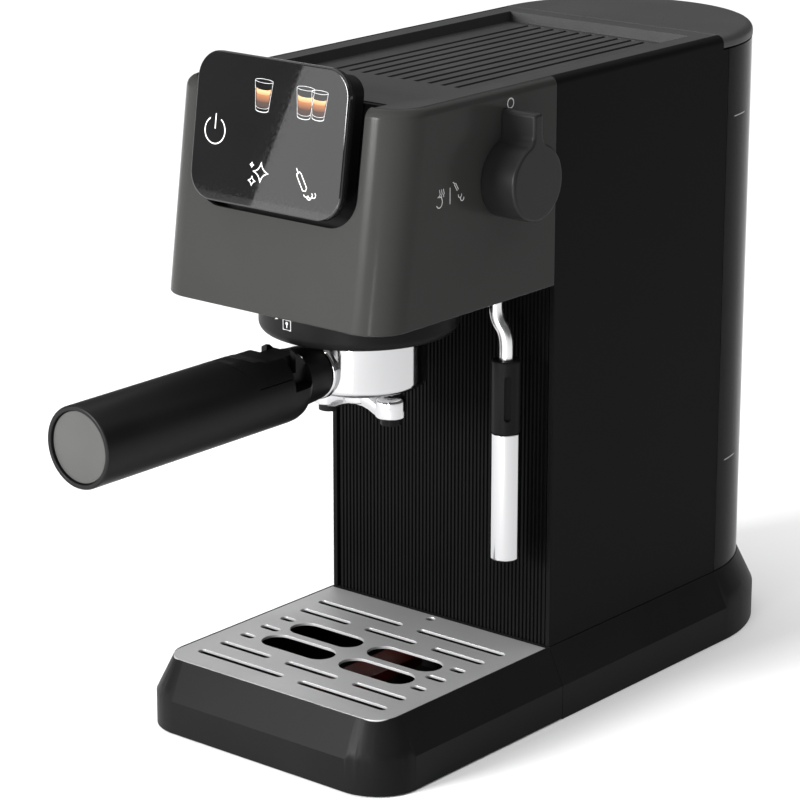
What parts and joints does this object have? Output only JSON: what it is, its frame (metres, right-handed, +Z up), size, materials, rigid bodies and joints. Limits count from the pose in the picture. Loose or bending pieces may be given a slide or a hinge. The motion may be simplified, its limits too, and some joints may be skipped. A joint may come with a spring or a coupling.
{
  "type": "espresso machine",
  "caption": "Slim pump espresso machine with a touch panel, locking portafilter, swivel steam wand, slide-out drip tray and lift-out rear water tank.",
  "frame": {"origin": "on the resting plane, midway between the sides, 167 mm behind the front of the drip tray", "axes": "+Z up, -Y towards the user (the handle points that way), +X towards the steam knob"},
  "size_m": [0.1553, 0.4348, 0.3103],
  "materials": {
    "black_plastic": "fine satin grain",
    "black_panels": "fine matt grain",
    "graphite_metal": "satin metallic",
    "graphite_plastic": "satin",
    "panel_glass": "polished black",
    "circuit": "solder mask",
    "steel_plate": "fine brushed",
    "chrome": "polished",
    "steel": "drawn steel",
    "aluminium": "as cast",
    "brass": "machined",
    "rubber": "matt",
    "silicone": "matt",
    "clear_hose": "milky",
    "smoked_clear": "clear, smoke tinted",
    "red_plastic": "satin",
    "white_plastic": "satin"
  },
  "bodies": {
    "housing": {"base_housing": "black_plastic", "base_bottom": "black_plastic", "rubber_feet": "rubber", "base_screws": "steel", "left_side_panel": "black_panels", "right_side_panel": "black_panels", "front_panel": "black_panels", "rear_inner_wall": "black_plastic", "top_cover": "graphite_plastic", "head_cover": "graphite_metal", "head_underside": "black_plastic", "panel_glass": "panel_glass", "panel_bezel": "black_plastic", "panel_circuit": "circuit", "panel_recess": "black_plastic", "tank_socket": "black_plastic", "socket_seal": "silicone", "pump": "steel", "pump_mounts": "rubber", "pump_bracket": "steel", "relief_valve": "brass", "chassis_plate": "steel", "suction_hose": "clear_hose", "pressure_hose": "clear_hose", "steam_tube": "steel", "drain_tube": "clear_hose", "thermoblock": "aluminium", "heating_element": "aluminium", "thermostats": "white_plastic", "thermoblock_screws": "steel", "control_board": "circuit", "cord_gland": "black_plastic", "group_head": "aluminium", "group_collar": "black_plastic", "group_gasket": "silicone", "shower_screen": "steel", "screen_screw": "steel", "steam_valve": "brass"},
    "tray": {"drip_tray": "black_plastic"},
    "grille": {"drip_grille": "steel_plate"},
    "float": {"float_indicator": "red_plastic"},
    "portafilter": {"portafilter_bowl": "chrome", "filter_basket": "steel", "twin_spout": "chrome", "spout_nozzles": "black_plastic", "handle_grip": "black_plastic", "handle_end_cap": "graphite_plastic", "handle_bolt": "steel", "clip_pin": "steel"},
    "clip": {"basket_clip": "black_plastic"},
    "knob": {"steam_knob": "black_plastic", "knob_shaft": "steel"},
    "wand": {"wand_pipe": "steel", "wand_grip": "black_plastic", "wand_sleeve": "chrome"},
    "tank": {"water_tank": "smoked_clear", "lid_hinge_pins": "steel", "tank_valve": "white_plastic", "valve_spring": "steel"},
    "lid": {"tank_lid": "graphite_plastic"}
  },
  "joints": [
    {"name": "tray_slide", "type": "slide", "parent": "housing", "child": "tray", "axis": [0, -1, 0], "range_m": [0, 0.14]},
    {"name": "grille_lift", "type": "slide", "parent": "tray", "child": "grille", "axis": [0, 0, 1], "range_m": [0, 0.03]},
    {"name": "float_rise", "type": "slide", "parent": "tray", "child": "float", "axis": [0, 0, 1], "range_m": [0, 0.008]},
    {"name": "portafilter_turn", "type": "hinge", "parent": "housing", "child": "portafilter", "pos_m": [0, -0.0963, 0.17], "axis": [0, 0, 1], "range_deg": [-45, 0]},
    {"name": "clip_swing", "type": "hinge", "parent": "portafilter", "child": "clip", "pos_m": [0, -0.146, 0.1816], "axis": [-1, 0, 0], "range_deg": [0, 40]},
    {"name": "wand_tilt", "type": "hinge", "parent": "housing", "child": "wand", "pos_m": [0.0463, -0.0585, 0.2105], "axis": [0, -1, 0], "range_deg": [0, 40]},
    {"name": "knob_turn", "type": "hinge", "parent": "housing", "child": "knob", "pos_m": [0.07, -0.0764, 0.2567], "axis": [1, 0, 0], "range_deg": [0, 90]},
    {"name": "tank_lift", "type": "slide", "parent": "housing", "child": "tank", "axis": [0, 0, 1], "range_m": [0, 0.1]},
    {"name": "lid_swing", "type": "hinge", "parent": "tank", "child": "lid", "pos_m": [0, 0.0893, 0.2915], "axis": [1, 0, 0], "range_deg": [0, 95]}
  ]
}
